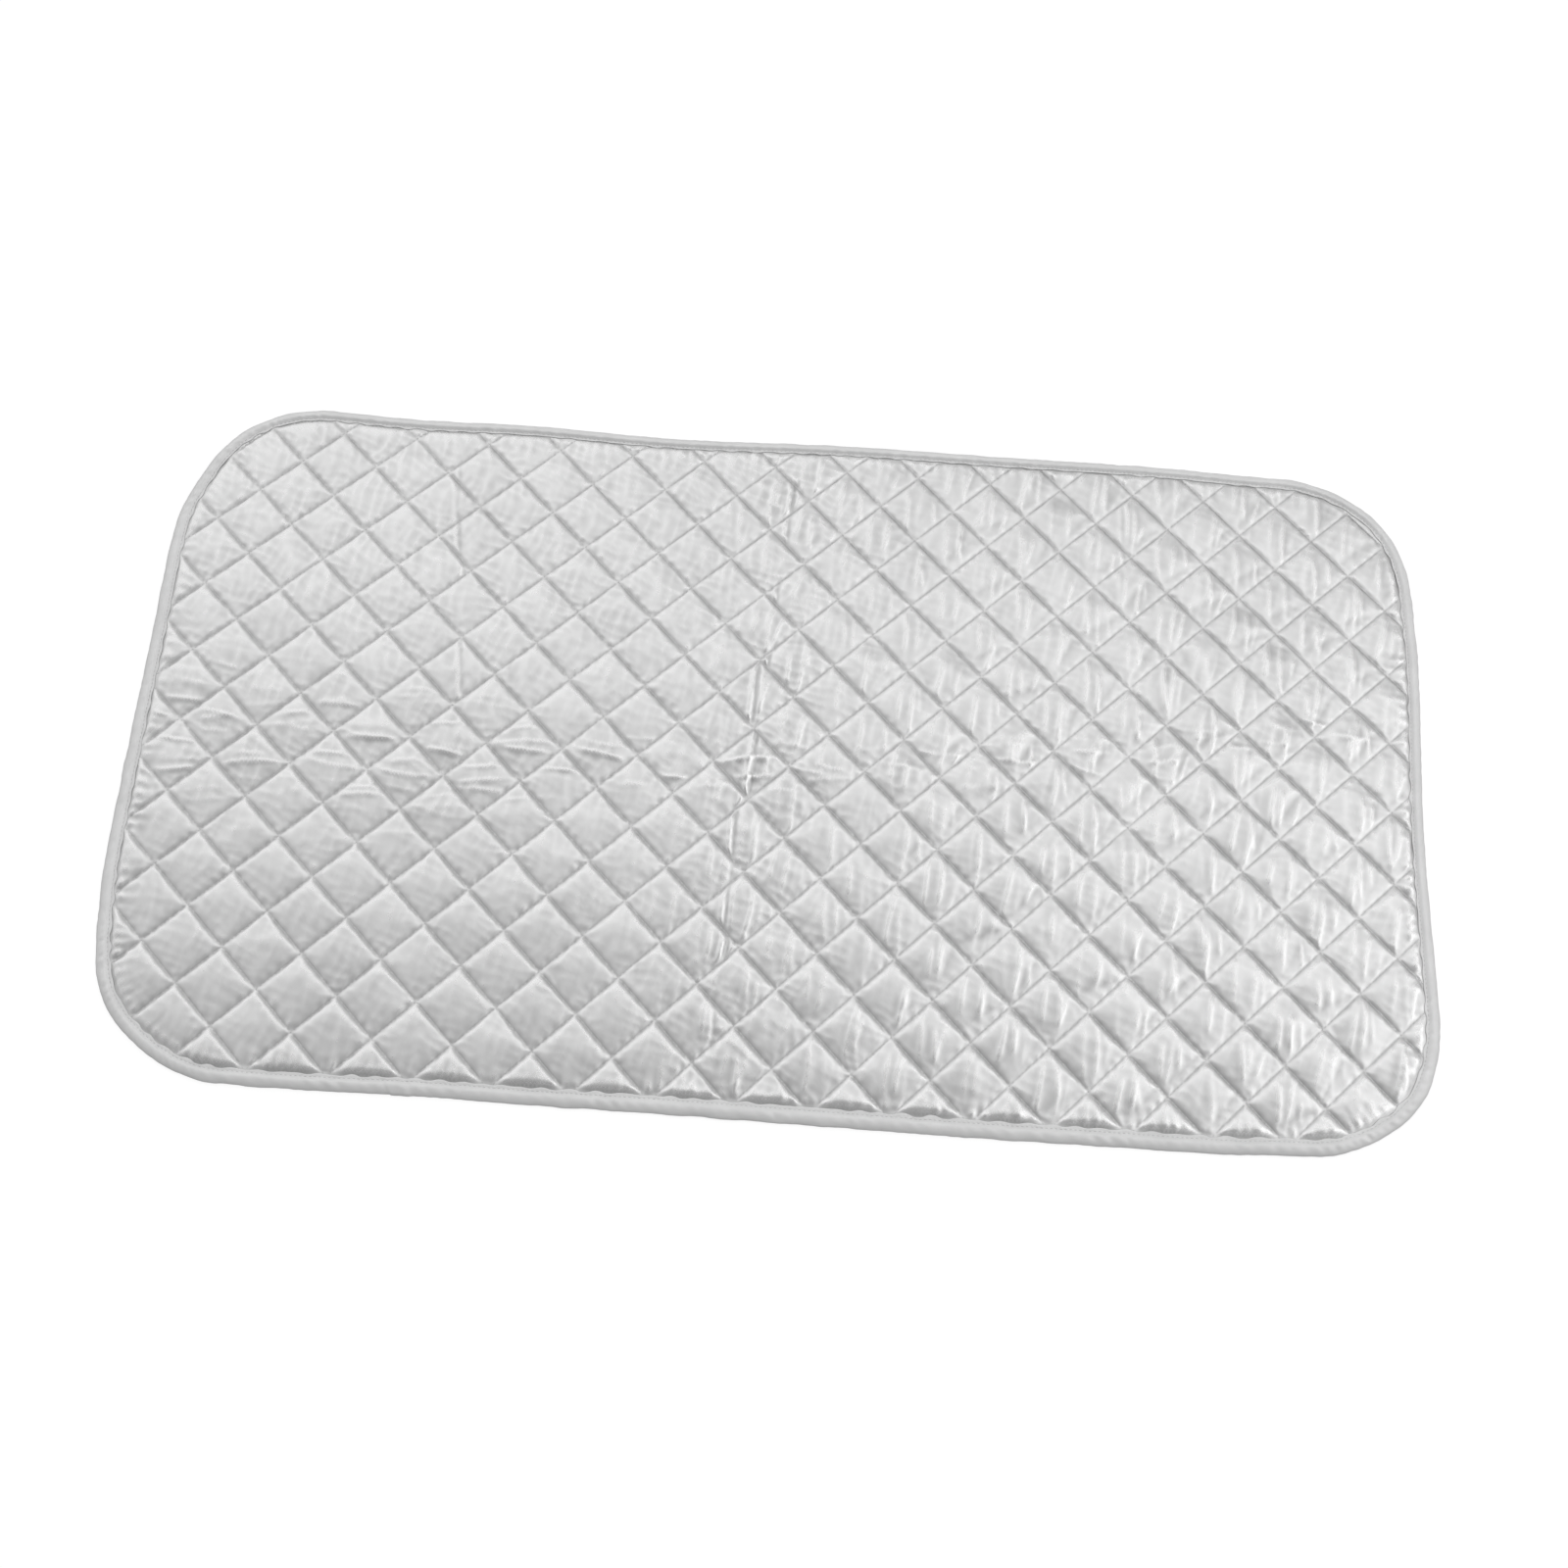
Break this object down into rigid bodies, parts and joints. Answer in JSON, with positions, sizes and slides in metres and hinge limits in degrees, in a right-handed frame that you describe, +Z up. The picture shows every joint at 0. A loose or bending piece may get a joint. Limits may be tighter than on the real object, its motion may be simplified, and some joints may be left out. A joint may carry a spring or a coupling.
{
  "type": "ironing pad",
  "caption": "Flat quilted ironing pad with rounded corners, silver cloth on both sides, thin wadding, a folded tape binding and a magnet in each corner.",
  "frame": {"origin": "centre of the pad's outline, on the surface that it lies on", "axes": "+X along the length, to the right in the picture; +Y across the width, away from the viewer; +Z up, out of the face side"},
  "size_m": [0.85, 0.48, 0.0075],
  "materials": {
    "face_cloth": "aluminised woven cloth, satin",
    "back_cloth": "aluminised woven cloth, duller",
    "wadding": "needled polyester wadding",
    "tape": "matt woven bias tape",
    "thread": "polyester sewing thread",
    "magnet": "sintered ferrite"
  },
  "bodies": {
    "root": {"face_cover": "face_cloth", "wadding": "wadding", "back_cover": "back_cloth", "edge_binding": "tape", "magnet_front_left": "magnet", "magnet_front_right": "magnet", "magnet_rear_left": "magnet", "magnet_rear_right": "magnet"}
  },
  "joints": []
}
